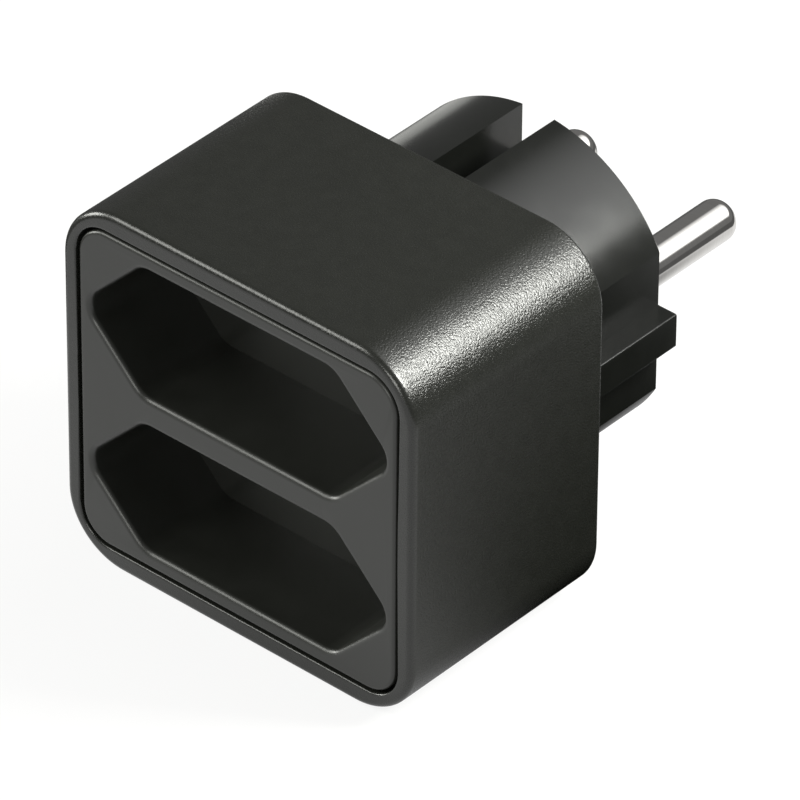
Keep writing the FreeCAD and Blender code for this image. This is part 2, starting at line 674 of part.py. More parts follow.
def contact_carrier():
    """The insulating block with a chamber for each contact clip and a seat for each busbar."""
    body = new_body("contact_carrier")
    pad(body, "block", rounded_rectangle(INNER_X, INNER_Z, "Sizes.opening_corner"),
        CARRIER_FRONT, CARRIER_BACK)
    seat_x = "(Sizes.busbar_half_width + Sizes.slide_gap)"
    seat_z = f"({BUSBAR_HALF_LENGTH} + Sizes.slide_gap)"
    seat_front = f"{BUSBAR_FRONT} - Sizes.slide_gap"
    pocket(body, "busbar_seats",
           outline(*[side_box(side, seat_x, f"-{seat_z}", seat_z) for side in (1, -1)]),
           seat_front, CARRIER_BACK)
    clip_x = "(Sizes.clip_half_width + Sizes.inner_gap)"
    clip_z = f"({WELL_Z} + Sizes.clip_half_height + Sizes.inner_gap)"
    heads = "(Sizes.clip_strip + Sizes.rivet_head_thickness + Sizes.inner_gap)"
    pocket(body, "clip_base_seats",
           outline(*[side_box(side, clip_x, f"-{clip_z}", clip_z) for side in (1, -1)]),
           f"{BUSBAR_FRONT} - {heads}", seat_front)
    leaf_z = "(Sizes.clip_leaf_half_height + Sizes.inner_gap)"
    pocket(body, "leaf_chambers",
           outline(*[side_box(side, f"({clip_x} + Sizes.inner_gap)",
                              f"{up} * {WELL_Z} - {leaf_z}", f"{up} * {WELL_Z} + {leaf_z}")
                     for side in (1, -1) for up in (1, -1)]),
           CARRIER_FRONT, f"{BUSBAR_FRONT} - {heads}")
    pocket(body, "peg_recesses",
           circles("(Sizes.peg_head_radius + Sizes.inner_gap)",
                   [("Sizes.boss_spacing / 2", "0"), ("-Sizes.boss_spacing / 2", "0")]),
           CARRIER_FRONT, f"{CARRIER_FRONT} + Sizes.peg_head_thickness + Sizes.slide_gap")
    place_in_box(body)
    return body


def busbar(name, side):
    """The brass strip that joins a plug pin to the two contact clips on its side."""
    body = new_body(name)
    pad(body, "strip", centred_rectangle("Sizes.busbar_half_width", BUSBAR_HALF_LENGTH),
        "0", "Sizes.busbar_thickness")
    pocket(body, "pass_holes",
           circles("(Sizes.socket_hole_radius + Sizes.shutter_lap)",
                   [("0", WELL_Z), ("0", f"-{WELL_Z}")]),
           "0", "Sizes.busbar_thickness")
    rivet_z = f"({WELL_Z} - {RIVET_OFFSET})"
    pocket(body, "rivet_holes",
           circles("(Sizes.rivet_radius + Sizes.fit_gap)", [("0", rivet_z), ("0", f"-{rivet_z}")]),
           "0", "Sizes.busbar_thickness")
    tail_x = f"{side} * (Sizes.pin_spacing - Sizes.socket_spacing) / 2"
    pocket(body, "tail_hole",
           circles("(Sizes.pin_tail_radius + Sizes.fit_gap)", [(tail_x, "Sizes.plug_rise")]),
           "0", "Sizes.busbar_thickness")
    place_in_box(body, f"{side} * Sizes.socket_spacing / 2", BUSBAR_FRONT)
    return body


def contact_clip(name, side, up):
    """A bent brass clip: a riveted base with two sprung leaves that grip a pin from both sides."""
    body = new_body(name)
    pad(body, "base",
        rectangle("-Sizes.clip_half_width", "Sizes.clip_half_width",
                  f"-{CLIP_BASE}", "Sizes.clip_half_height"),
        "-Sizes.clip_strip", "0")
    reach = f"({BUSBAR_FRONT} - {CARRIER_FRONT} - Sizes.inner_gap)"
    outer, throat, strip = "Sizes.clip_half_width", "Sizes.clip_throat", "Sizes.clip_strip"
    leaf = pad(body, "leaf",
               outline([(outer, "0"), (outer, f"-0.25 * {reach}"),
                        (f"{throat} + {strip}", f"-0.75 * {reach}"), (outer, f"-{reach}"),
                        (f"{outer} - {strip}", f"-{reach}"), (throat, f"-0.75 * {reach}"),
                        (f"{outer} - {strip}", f"-0.25 * {reach}"), (f"{outer} - {strip}", "0")]),
               "-Sizes.clip_leaf_half_height", "Sizes.clip_leaf_half_height", "XY_Plane")
    mirror(body, "left_leaf", [leaf], "YZ_Plane")
    pocket(body, "pass_hole",
           circles("(Sizes.socket_hole_radius + Sizes.shutter_lap)", [("0", "0")]),
           "-Sizes.clip_strip", "0")
    pocket(body, "rivet_hole",
           circles("(Sizes.rivet_radius + Sizes.fit_gap)", [("0", f"-{RIVET_OFFSET}")]),
           "-Sizes.clip_strip", "0")
    if up < 0:
        body.Placement.Rotation = FreeCAD.Rotation(FreeCAD.Vector(0, 1, 0), 180)
    place_in_box(body, f"{side} * Sizes.socket_spacing / 2", BUSBAR_FRONT, f"{up} * {WELL_Z}")
    return body


def clip_rivets():
    """Four tubular rivets that fasten the clips to the busbars, each with a head on both sides."""
    cylinders = []
    clip_front = f"({BUSBAR_FRONT} - Sizes.clip_strip)"
    steps = [("Sizes.rivet_head_radius", f"({clip_front} - Sizes.rivet_head_thickness)",
              "Sizes.rivet_head_thickness"),
             ("Sizes.rivet_radius", clip_front, "Sizes.clip_strip + Sizes.busbar_thickness"),
             ("Sizes.rivet_head_radius", BUSBAR_BACK, "Sizes.rivet_head_thickness")]
    for side in (1, -1):
        for up in (1, -1):
            for radius, start, length in steps:
                cylinder = doc.addObject("Part::Cylinder", "rivet_step")
                cylinder.Placement.Rotation = FreeCAD.Rotation(FreeCAD.Vector(1, 0, 0), -90)
                bind(cylinder, "Radius", radius)
                bind(cylinder, "Height", length)
                place_in_box(cylinder, f"{side} * Sizes.socket_spacing / 2", start,
                             f"{up} * ({WELL_Z} - {RIVET_OFFSET})")
                cylinders.append(cylinder)
    rivets = doc.addObject("Part::MultiFuse", "clip_rivets")
    rivets.Label = "clip_rivets"
    rivets.Shapes = cylinders
    return rivets


pieces = [
    outer_sleeve(),
    socket_insert(),
    plug_body(),
    pin_bridge(),
    contact_pin("plug_pin_left", -1),
    contact_pin("plug_pin_right", 1),
    contact_carrier(),
    shutter_retainer(),
    shutter("shutter_upper", 1),
    shutter("shutter_lower", -1),
    shutter_spring("shutter_spring_upper", 1),
    shutter_spring("shutter_spring_lower", -1),
    busbar("busbar_left", -1),
    busbar("busbar_right", 1),
    contact_clip("contact_clip_upper_left", -1, 1),
    contact_clip("contact_clip_upper_right", 1, 1),
    contact_clip("contact_clip_lower_left", -1, -1),
    contact_clip("contact_clip_lower_right", 1, -1),
    clip_rivets(),
]
doc.recompute()

for item in doc.Objects:
    if "Invalid" in item.State or "Error" in item.State:
        raise RuntimeError(f"{item.Name} did not build: {item.State}")
for piece in pieces:
    if piece.Shape.isNull() or not piece.Shape.isValid():
        raise RuntimeError(f"{piece.Label} has no valid shape")

os.makedirs("parts", exist_ok=True)
for piece in pieces:
    piece.Shape.exportStep(f"parts/{piece.Label}.step")
    box = piece.Shape.optimalBoundingBox()
    print(f"{piece.Label}: {len(piece.Shape.Solids)} solids, {piece.Shape.Volume:.1f} mm3, "
          f"x {box.XMin:.2f} to {box.XMax:.2f}, y {box.YMin:.2f} to {box.YMax:.2f}, "
          f"z {box.ZMin:.2f} to {box.ZMax:.2f}")
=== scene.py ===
"""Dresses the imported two-way adapter: smooth surfaces, moulded plastics, nickel and brass, in a white studio.

The object's lengths are written in millimetres and turned to metres where a mesh or a shader needs them.
The studio and the camera are in metres. The frame is the CAD's: +X to the right as the sockets are
faced, +Y towards the pin tips, +Z up, and the origin in the middle of the plug's end face.
"""
import math

import bmesh
import bpy
import numpy as np
from mathutils import Matrix, Vector
from mathutils.geometry import tessellate_polygon


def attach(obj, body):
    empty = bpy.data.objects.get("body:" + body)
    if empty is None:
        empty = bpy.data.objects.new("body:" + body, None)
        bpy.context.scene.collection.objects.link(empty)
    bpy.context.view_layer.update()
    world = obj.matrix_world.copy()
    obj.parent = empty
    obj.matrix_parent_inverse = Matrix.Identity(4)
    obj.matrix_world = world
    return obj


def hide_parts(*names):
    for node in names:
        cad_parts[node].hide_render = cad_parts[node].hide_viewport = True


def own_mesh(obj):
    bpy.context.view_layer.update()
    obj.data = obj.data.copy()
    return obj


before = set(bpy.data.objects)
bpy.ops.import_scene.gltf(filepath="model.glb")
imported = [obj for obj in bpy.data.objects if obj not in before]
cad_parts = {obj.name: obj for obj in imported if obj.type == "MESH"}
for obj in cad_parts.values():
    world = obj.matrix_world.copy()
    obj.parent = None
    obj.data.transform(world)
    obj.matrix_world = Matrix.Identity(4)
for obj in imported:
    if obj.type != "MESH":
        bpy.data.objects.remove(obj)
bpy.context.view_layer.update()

# The case: one open-fronted box shell of charcoal ABS, injection moulded in a spark-eroded mould, so
# its outside is finely grained. Its rim is rounded over, and its rear wall holds the plug's flange.
FRONT = -46.5
CASE_BACK = -17.6
REAR_WALL_FRONT = CASE_BACK - 1.8
CASE_MIDDLE = -0.5  # its height, as the plug's axis is at 0
CASE_HALF = (23.6, 22.3)
CASE_CORNER = 7.6
CORNER_STEPS = 24
FRONT_ROUND = 0.8
BACK_ROUND = 0.4
OPENING_HALF = (21.7, 20.0)
OPENING_CORNER = 4.1
OPENING_ROUND = 0.25
SEAT_HALF = 2.8
SEAT_X = 22.35  # the floors of the two pockets that catch the insert's hooks
SEAT_DEPTHS = (FRONT + 9.7, FRONT + 12.6)
BARREL_RADIUS = 18.6
BARREL_FLAT = 16.5
RIB_REACH = 19.0
RIB_HALF = 2.05
FIT_GAP = 0.05
ABS_IOR = 1.54
WELD_GAP, SLIVER = 1e-6, 1e-7  # in metres: nearer points become one, shorter edges go
SHARP_ANGLE = 28  # in degrees: edges that turn further are drawn sharp
FACTOR, DARK, LIGHT, MIXED = 0, 6, 7, 2  # sockets of a Mix node that mixes colours
NOISE_LOW, NOISE_HIGH = 0.3, 0.7  # nearly all of a noise texture lies between these


def outline(corners, radii, grow=0.0, steps=16):
    """Points round a straight-sided outline, anticlockwise as the sockets are faced.

    Each corner becomes an arc: centre + radius * (cos a, sin a), where a runs in equal steps from the
    normal of the side before to the normal of the side after. Growing the outline keeps the centres
    and lengthens the radii.
    """
    corners = np.asarray(corners, float)
    radii = np.broadcast_to(np.asarray(radii, float), len(corners))
    sides = np.roll(corners, -1, 0) - corners
    sides /= np.linalg.norm(sides, axis=1, keepdims=True)
    after = np.stack([sides[:, 1], -sides[:, 0]], 1)
    before = np.roll(after, 1, 0)
    cosine = (before * after).sum(1)
    turn = np.arctan2(before[:, 0] * after[:, 1] - before[:, 1] * after[:, 0], cosine)
    centres = corners - (before + after) * (radii / (1 + cosine))[:, None]
    angles = np.arctan2(before[:, 1], before[:, 0])[:, None] + turn[:, None] * np.linspace(0, 1, steps + 1)
    spokes = np.stack([np.cos(angles), np.sin(angles)], -1)
    return (centres[:, None] + (radii + grow)[:, None, None] * spokes).reshape(-1, 2)


def box_corners(half, middle=0.0):
    """The four corners of an upright rectangle, anticlockwise from the lower right."""
    return [(half[0], middle - half[1]), (half[0], middle + half[1]),
            (-half[0], middle + half[1]), (-half[0], middle - half[1])]


def rounded_box(half, corner):
    """A rounded box's outline about the case's middle, as a function of how far it is grown."""
    return lambda grow: outline(box_corners(half, CASE_MIDDLE), corner, grow, CORNER_STEPS)


def arc(radius, start, end, count):
    """Points along a circle round the origin: radius * (cos a, sin a), in equal steps of a."""
    angle = np.linspace(start, end, count)
    return radius * np.stack([np.cos(angle), np.sin(angle)], 1)


def at_depth(points, depth):
    """An outline as points in space, all at one depth along Y."""
    return np.stack([points[:, 0], np.full(len(points), float(depth)), points[:, 1]], 1)


def skin_over(grid):
    """The smooth surface over rows of points, where each row is a closed loop."""
    rows, columns = grid.shape[:2]
    index = np.arange(rows * columns).reshape(rows, columns)
    following = np.roll(index, -1, 1)
    faces = np.stack([index[:-1], index[1:], following[1:], following[:-1]], -1)
    return grid.reshape(-1, 3), faces.reshape(-1, 4), True


def band(stations):
    """The surface through matching outlines: point (i, j) is point j of outline i, at the depth of i.

    It faces outwards where the stations run towards +Y, and inwards where they run towards -Y.
    """
    return skin_over(np.array([at_depth(points, depth) for points, depth in stations]))


def flat(outlines, depth, facing):
    """The plane between an outline and the holes in it, cut into triangles that face along +Y or -Y."""
    points = np.concatenate(outlines)
    faces = np.array(tessellate_polygon([loop.tolist() for loop in outlines]))
    first, second, third = (points[faces[:, corner]] for corner in range(3))
    one, other = second - first, third - first
    turns_left = one[:, 0] * other[:, 1] > one[:, 1] * other[:, 0]
    faces = np.where((turns_left == (facing > 0))[:, None], faces[:, ::-1], faces)
    return at_depth(points, depth), faces, False


def rounding(radius, steps=8):
    """Offsets and depths of a quarter round: radius * (1 - sin t) and radius * (1 - cos t)."""
    t = np.linspace(0, math.pi / 2, steps + 1)
    return list(zip(radius * (1 - np.sin(t)), radius * (1 - np.cos(t))))


def new_object(name, data):
    """An object for a mesh, lamp or camera, in the scene."""
    made = bpy.data.objects.new(name, data)
    bpy.context.scene.collection.objects.link(made)
    return made


def build_piece(name, surfaces, material, body, slot, *nodes):
    """Welds surfaces into one closed mesh that stands for CAD nodes and rides on their body."""
    points = np.concatenate([part[0] for part in surfaces]) / 1000
    starts = np.cumsum([0] + [len(part[0]) for part in surfaces])
    mesh = bpy.data.meshes.new(name)
    mesh.from_pydata(points.tolist(), [], [face for (_, faces, _), start in zip(surfaces, starts)
                                           for face in (faces + start).tolist()])
    mesh.polygons.foreach_set("use_smooth", np.concatenate([np.full(len(faces), smooth)
                                                            for _, faces, smooth in surfaces]))
    welded = bmesh.new()
    welded.from_mesh(mesh)
    bmesh.ops.remove_doubles(welded, verts=welded.verts, dist=WELD_GAP)
    bmesh.ops.dissolve_degenerate(welded, edges=welded.edges, dist=SLIVER)
    welded.to_mesh(mesh)
    welded.free()
    mesh.set_sharp_from_angle(angle=math.radians(SHARP_ANGLE))
    mesh.materials.append(material)
    piece = new_object(name, mesh)
    weighted = piece.modifiers.new("even_shading", "WEIGHTED_NORMAL")
    weighted.keep_sharp = True
    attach(piece, body)
    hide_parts(*nodes)
    return piece


def linear(colour):
    """An sRGB hex value as linear red, green and blue, with full alpha."""
    parts = np.array([int(colour[start:start + 2], 16) for start in (1, 3, 5)]) / 255
    return (*np.where(parts <= 0.04045, parts / 12.92, ((parts + 0.055) / 1.055) ** 2.4), 1.0)


def add_node(tree, kind, settings, inputs):
    """Adds a shader node, sets its own settings, and fills each input with a value or another output."""
    node = tree.nodes.new("ShaderNode" + kind)
    for name, setting in settings.items():
        setattr(node, name, setting)
    for name, source in inputs.items():
        if isinstance(source, bpy.types.NodeSocket):
            tree.links.new(source, node.inputs[name])
        else:
            node.inputs[name].default_value = source
    return node


def new_material(name):
    """An empty node material with its tree and its Object coordinates."""
    material = bpy.data.materials.new(name)
    material.use_nodes = True
    tree = material.node_tree
    tree.nodes.clear()
    return material, tree, add_node(tree, "TexCoord", {}, {}).outputs["Object"]


def spark_eroded_abs():
    """ABS from a spark-eroded mould: a matt skin of round grains that glitter where light grazes it.

    The real grains are about 0.1 mm. They are drawn 0.2 mm wide, so that they show at this distance. The
    rim is smoother, because the eroded part of the mould ends at its round.
    """
    grain_width, mottle_width, grain_depth = 0.2, 1.6, 0.06
    smooth_to, grained_from = FRONT + 0.5, FRONT + 1.6
    material, tree, place = new_material("spark_eroded_abs")
    grain = add_node(tree, "TexNoise", {}, {
        "Vector": place, "Scale": 1000 / grain_width, "Detail": 1.5, "Roughness": 0.6}).outputs["Fac"]
    mottle = add_node(tree, "TexNoise", {}, {
        "Vector": place, "Scale": 1000 / mottle_width, "Detail": 2.0}).outputs["Fac"]
    colour = add_node(tree, "Mix", {"data_type": "RGBA"}, {
        FACTOR: mottle, DARK: linear("#181916"), LIGHT: linear("#1f201d")})
    rough = add_node(tree, "MapRange", {}, {
        "Value": grain, "From Min": NOISE_LOW, "From Max": NOISE_HIGH, "To Min": 0.22, "To Max": 0.32})
    depth = add_node(tree, "SeparateXYZ", {}, {"Vector": place}).outputs["Y"]
    relief_share = add_node(tree, "MapRange", {"interpolation_type": "SMOOTHSTEP"}, {
        "Value": depth, "From Min": smooth_to / 1000, "From Max": grained_from / 1000,
        "To Min": 0.3, "To Max": 1.0})
    relief = add_node(tree, "Bump", {}, {
        "Strength": relief_share.outputs[0], "Distance": grain_depth / 1000, "Height": grain})
    skin = add_node(tree, "BsdfPrincipled", {}, {
        "Base Color": colour.outputs[MIXED], "Roughness": rough.outputs[0], "IOR": ABS_IOR,
        "Normal": relief.outputs[0]})
    add_node(tree, "OutputMaterial", {}, {"Surface": skin.outputs[0]})
    return material


def plug_hole():
    """The sleeve's rear opening for the plug: its outline without slots, grown by the fit gap."""
    radius, flat_x, rib_x, rib_half = (
        size + FIT_GAP for size in (BARREL_RADIUS, BARREL_FLAT, RIB_REACH, RIB_HALF))
    start = math.acos(flat_x / radius)
    upper = np.concatenate([
        [(rib_x, 0), (rib_x, rib_half), (flat_x, rib_half)],
        arc(radius, start, math.pi - start, count=97),
        [(-flat_x, rib_half), (-rib_x, rib_half), (-rib_x, 0)]])
    return np.concatenate([upper, upper[-2:0:-1] * (1, -1)])


def with_seats(loop):
    """The opening's outline with four more points, where the two hook seats begin and end."""
    right, left = (np.array([(side * OPENING_HALF[0], CASE_MIDDLE + end * SEAT_HALF) for end in ends])
                   for side, ends in ((1, (-1, 1)), (-1, (1, -1))))
    corner = len(loop) // 4
    return np.concatenate([loop[:corner], right, loop[corner:3 * corner], left, loop[3 * corner:]])


def inner_wall(loop, edge):
    """The opening's wall from the rear wall to the edge round, with a seat sunk in it for each hook.

    The wall's quads that lie over a seat are left out. The seat's own walls and floor fill the hole.
    """
    loop = with_seats(loop)
    stations = [(loop, REAR_WALL_FRONT), (loop, SEAT_DEPTHS[1]), (loop, SEAT_DEPTHS[0])]
    points, faces, smooth = band(stations + [(with_seats(grown), depth) for grown, depth in edge])
    over_right = len(loop) + len(loop) // 4 - 1
    over_left = over_right + len(loop) // 2
    surfaces = [(points, np.delete(faces, [over_right, over_left], 0), smooth)]
    rim = np.array([(z, depth) for z in (CASE_MIDDLE - SEAT_HALF, CASE_MIDDLE + SEAT_HALF)
                    for depth in SEAT_DEPTHS])
    box = np.array([(0, 1, 5, 4), (1, 3, 7, 5), (3, 2, 6, 7), (2, 0, 4, 6), (4, 5, 7, 6)])
    for side in (1, -1):
        mouth, base = (np.stack([np.full(4, side * x), rim[:, 1], rim[:, 0]], 1)
                       for x in (OPENING_HALF[0], SEAT_X))
        surfaces.append((np.concatenate([mouth, base]), box[:, ::-1] if side > 0 else box, False))
    return surfaces


def sleeve_surfaces():
    """The sleeve's outside from rim to rear edge, its rear wall with the plug hole, and its inside."""
    case = rounded_box(CASE_HALF, CASE_CORNER)
    opening = rounded_box(OPENING_HALF, OPENING_CORNER)
    front = [(case(-offset), FRONT + depth) for offset, depth in rounding(FRONT_ROUND, steps=10)]
    edge = [(opening(offset), FRONT + depth) for offset, depth in rounding(OPENING_ROUND, steps=5)[::-1]]
    back = [(case(-offset), CASE_BACK - depth) for offset, depth in rounding(BACK_ROUND, steps=6)[::-1]]
    hole = plug_hole()
    return inner_wall(opening(0), edge) + [
        flat([case(-FRONT_ROUND), with_seats(opening(OPENING_ROUND))], FRONT, -1),
        band(front + back),
        flat([case(-BACK_ROUND), hole], CASE_BACK, 1),
        band([(hole, CASE_BACK), (hole, REAR_WALL_FRONT)]),
        flat([with_seats(opening(0)), hole], REAR_WALL_FRONT, -1),
    ]


build_piece("outer_sleeve_shell", sleeve_surfaces(), spark_eroded_abs(), "housing", "case_plastic",
            "outer_sleeve")

# The socket insert: the front panel with both wells, moulded in one from the same ABS in a polished and
# lightly blasted mould, so it is satin. It snaps into the sleeve with a fine groove all round.
PANEL_HALF = (21.35, 19.65)
PANEL_CORNER = 3.75
PANEL_ROUND = 0.45
PANEL_BACK = FRONT + 2.0
WELL_RISE = 9.75
WELL_HEIGHTS = (WELL_RISE + CASE_MIDDLE, -WELL_RISE + CASE_MIDDLE)
WELL_TIP = 20.877  # half the width, before the tips are rounded
WELL_FLAT, WELL_TOP = 12.877, 8.0
WELL_WALL = 1.8
SHELL_REACH = 21.33
TIP_ROUND, WELL_CORNER_ROUND, LIP_ROUND = 2.6, 3.0, 0.7
WELL_FLOOR = FRONT + 12.5
FLOOR_BACK = WELL_FLOOR + 1.5
RETAINER_FRONT = FLOOR_BACK + 3.4
RETAINER_BACK = RETAINER_FRONT + 0.9
SOCKET_X = 9.5
HOLE_RADIUS = 2.3
ROOT = 0.1  # how far raised parts run into what carries them
RAIL_HALF_HEIGHT = 5.5
CHANNEL_RIGHT, CHANNEL_LEFT, CHANNEL_HALF_HEIGHT = 20.0, -18.5, 4.3
SPRING_Y = FRONT + 15.7
SPIGOT_RADIUS, SPIGOT_SPAN = 0.8, (19.0, 20.1)
BOSS_X = 10.0
BOSS_RADIUS, PEG_RADIUS, STAKED_RADIUS = 2.0, 1.0, 1.6
STAKED_END = RETAINER_FRONT + 1.5
HOOK_HALF = 2.5
HOOK_INSIDE, HOOK_OUTSIDE, HOOK_NOSE = 20.15, 21.35, 22.25
HOOK_HEEL, HOOK_END = FRONT + 9.8, FRONT + 12.5


def well(height, grow=0.0):
    """The six-sided outline of a well, with its corners and its two tips rounded."""
    corners = [(WELL_TIP, height), (WELL_FLAT, height + WELL_TOP), (-WELL_FLAT, height + WELL_TOP),
               (-WELL_TIP, height), (-WELL_FLAT, height - WELL_TOP), (WELL_FLAT, height - WELL_TOP)]
    radii = [TIP_ROUND, WELL_CORNER_ROUND, WELL_CORNER_ROUND] * 2
    return outline(corners, radii, grow, steps=20)


def circle(across, up, radius, steps=64):
    """A circle as an outline: centre + radius * (cos a, sin a)."""
    angle = np.linspace(0, 2 * math.pi, steps, endpoint=False)
    return np.stack([across + radius * np.cos(angle), up + radius * np.sin(angle)], 1)


def round_bar(profile, centre):
    """A round bar along Y: each station of the profile is a circle, and both ends close at the axis."""
    stations = [(0.0, profile[0][1])] + profile + [(0.0, profile[-1][1])]
    return band([(circle(*centre, radius), depth) for radius, depth in stations])


def prism(loop, start, end):
    """A closed block with the given outline, from one depth to the other."""
    return [band([(loop, start), (loop, end)]), flat([loop], start, -1), flat([loop], end, 1)]


def shell_outline():
    """The outside of both wells' walls behind the panel, which meet in the middle.

    The slants lie at 45 degrees, so their upper corners move out by the wall * tan 22.5 degrees, and
    half the upright side at the reach is the top's height less the slant's run.
    """
    top = WELL_TOP + WELL_WALL
    slant = WELL_FLAT + WELL_WALL * math.tan(math.radians(22.5))
    side = top - (SHELL_REACH - slant)
    waist = SHELL_REACH - WELL_RISE + side
    half = np.array([
        (SHELL_REACH, WELL_RISE - side), (SHELL_REACH, WELL_RISE + side), (slant, WELL_RISE + top),
        (-slant, WELL_RISE + top), (-SHELL_REACH, WELL_RISE + side), (-SHELL_REACH, WELL_RISE - side),
        (-waist, 0.0)])
    return np.concatenate([half, -half]) + (0, CASE_MIDDLE)


def channel_surfaces(height):
    """The frame behind a well's floor in which the shutter slides, with the spigot for its spring.

    The spigot is a prism whose X and Y are exchanged, which turns its faces over.
    """
    rail = np.array(box_corners((SHELL_REACH, RAIL_HALF_HEIGHT), height))
    channel = np.array([(across, height + up * CHANNEL_HALF_HEIGHT) for across, up in (
        (CHANNEL_RIGHT, -1), (CHANNEL_RIGHT, 1), (CHANNEL_LEFT, 1), (CHANNEL_LEFT, -1))])
    surfaces = [band([(rail, FLOOR_BACK - ROOT), (rail, RETAINER_FRONT)]),
                band([(channel, RETAINER_FRONT), (channel, FLOOR_BACK - ROOT)]),
                flat([rail, channel], FLOOR_BACK - ROOT, -1), flat([rail, channel], RETAINER_FRONT, 1)]
    spigot = prism(circle(SPRING_Y, height, SPIGOT_RADIUS, steps=24), *SPIGOT_SPAN)
    return surfaces + [(points[:, [1, 0, 2]], faces[:, ::-1], smooth) for points, faces, smooth in spigot]


def boss(side):
    """A round boss with a peg through the retainer, whose end is staked into a head."""
    return round_bar([(BOSS_RADIUS, FLOOR_BACK - ROOT), (BOSS_RADIUS, RETAINER_FRONT),
                       (PEG_RADIUS, RETAINER_FRONT), (PEG_RADIUS, RETAINER_BACK),
                       (STAKED_RADIUS, RETAINER_BACK), (STAKED_RADIUS, STAKED_END)],
                      (side * BOSS_X, CASE_MIDDLE))


def hook(side):
    """A snap hook: a springy arm behind the panel with a wedge-shaped nose, cut square to its sides.

    It is a prism whose Y and Z are exchanged. That turns its faces over, and mirroring it for the
    left side turns them back.
    """
    profile = np.array([(HOOK_INSIDE, PANEL_BACK - ROOT), (HOOK_OUTSIDE, PANEL_BACK - ROOT),
                        (HOOK_OUTSIDE, HOOK_HEEL), (HOOK_NOSE, HOOK_HEEL), (HOOK_OUTSIDE, HOOK_END),
                        (HOOK_INSIDE, HOOK_END)])
    return [(points[:, [0, 2, 1]] * (side, 1, 1) + (0, 0, CASE_MIDDLE),
             faces[:, ::-1] if side > 0 else faces, smooth)
            for points, faces, smooth in prism(profile, -HOOK_HALF, HOOK_HALF)]


def insert_surfaces():
    """The panel, both lips, walls and floors, and behind them the channels, bosses, pegs and hooks."""
    panel = rounded_box(PANEL_HALF, PANEL_CORNER)
    shell = shell_outline()
    holes = {height: [circle(side * SOCKET_X, height, HOLE_RADIUS) for side in (1, -1)]
             for height in WELL_HEIGHTS}
    edge = [(panel(-offset), FRONT + depth) for offset, depth in rounding(PANEL_ROUND, steps=6)]
    surfaces = [
        band(edge + [(panel(0), PANEL_BACK)]),
        flat([panel(-PANEL_ROUND)] + [well(height, LIP_ROUND) for height in WELL_HEIGHTS], FRONT, -1),
        flat([panel(0), shell], PANEL_BACK, 1),
        band([(shell, PANEL_BACK), (shell, FLOOR_BACK)]),
        flat([shell] + [pair[side] for side in (0, 1) for pair in holes.values()], FLOOR_BACK, 1),
    ]
    for height, pair in holes.items():
        lip = [(well(height, offset), FRONT + depth) for offset, depth in rounding(LIP_ROUND)[::-1]]
        surfaces += [band([(well(height), WELL_FLOOR)] + lip), flat([well(height)] + pair, WELL_FLOOR, -1)]
        surfaces += [band([(hole, FLOOR_BACK), (hole, WELL_FLOOR)]) for hole in pair]
        surfaces += channel_surfaces(height)
    for side in (1, -1):
        surfaces += [boss(side)] + hook(side)
    return surfaces


def satin_abs(name, dark, light, low, high):
    """ABS from a lightly blasted mould: a satin skin with a faint cloudiness and a very fine tooth.

    The tooth is about 0.15 mm wide, which just shows. The clouds, about 4 mm, come from the flow. The
    colour runs from dark to light with them, and the roughness from low to high.
    """
    cloud_width, tooth_width, tooth_depth = 4.0, 0.15, 0.02
    material, tree, place = new_material(name)
    clouds = add_node(tree, "TexNoise", {}, {
        "Vector": place, "Scale": 1000 / cloud_width, "Detail": 3.0}).outputs["Fac"]
    tooth = add_node(tree, "TexNoise", {}, {
        "Vector": place, "Scale": 1000 / tooth_width, "Detail": 2.0}).outputs["Fac"]
    colour = add_node(tree, "Mix", {"data_type": "RGBA"}, {
        FACTOR: clouds, DARK: linear(dark), LIGHT: linear(light)})
    rough = add_node(tree, "MapRange", {}, {
        "Value": clouds, "From Min": NOISE_LOW, "From Max": NOISE_HIGH, "To Min": low, "To Max": high})
    relief = add_node(tree, "Bump", {}, {
        "Strength": 0.15, "Distance": tooth_depth / 1000, "Height": tooth})
    skin = add_node(tree, "BsdfPrincipled", {}, {
        "Base Color": colour.outputs[MIXED], "Roughness": rough.outputs[0], "IOR": ABS_IOR,
        "Normal": relief.outputs[0]})
    add_node(tree, "OutputMaterial", {}, {"Surface": skin.outputs[0]})
    return material


build_piece("socket_insert_panel", insert_surfaces(),
            satin_abs("satin_abs_insert", "#1e1f1c", "#232421", 0.34, 0.42), "housing", "insert_plastic",
            "socket_insert")

# The plug body: a hollow barrel of smooth satin ABS with flats, guide ribs and two slots that clear the
# earth clips of a wall socket. Its flange is clamped behind the sleeve's rear wall.
RIB_ROUND = 0.2
SLOT_HALF = 2.15
SLOT_FLOOR = 12.2
BARREL_BEVEL = 0.3
HOLLOW_RADIUS = 16.6
HOLLOW_FLAT = 14.5
HOLLOW_SLOT_HALF = 3.75
HOLLOW_SLOT_FLOOR = 10.6
HOLLOW_END = -3.0
FLANGE_HALF = (21.4, 19.7)
FLANGE_CORNER = 4.1
FLANGE_FRONT = REAR_WALL_FRONT - 1.6
PIN_X = 9.5
PIN_HOLE_RADIUS = 2.45
RECESS_RADIUS = 3.4
RECESS_DEPTH = 0.5


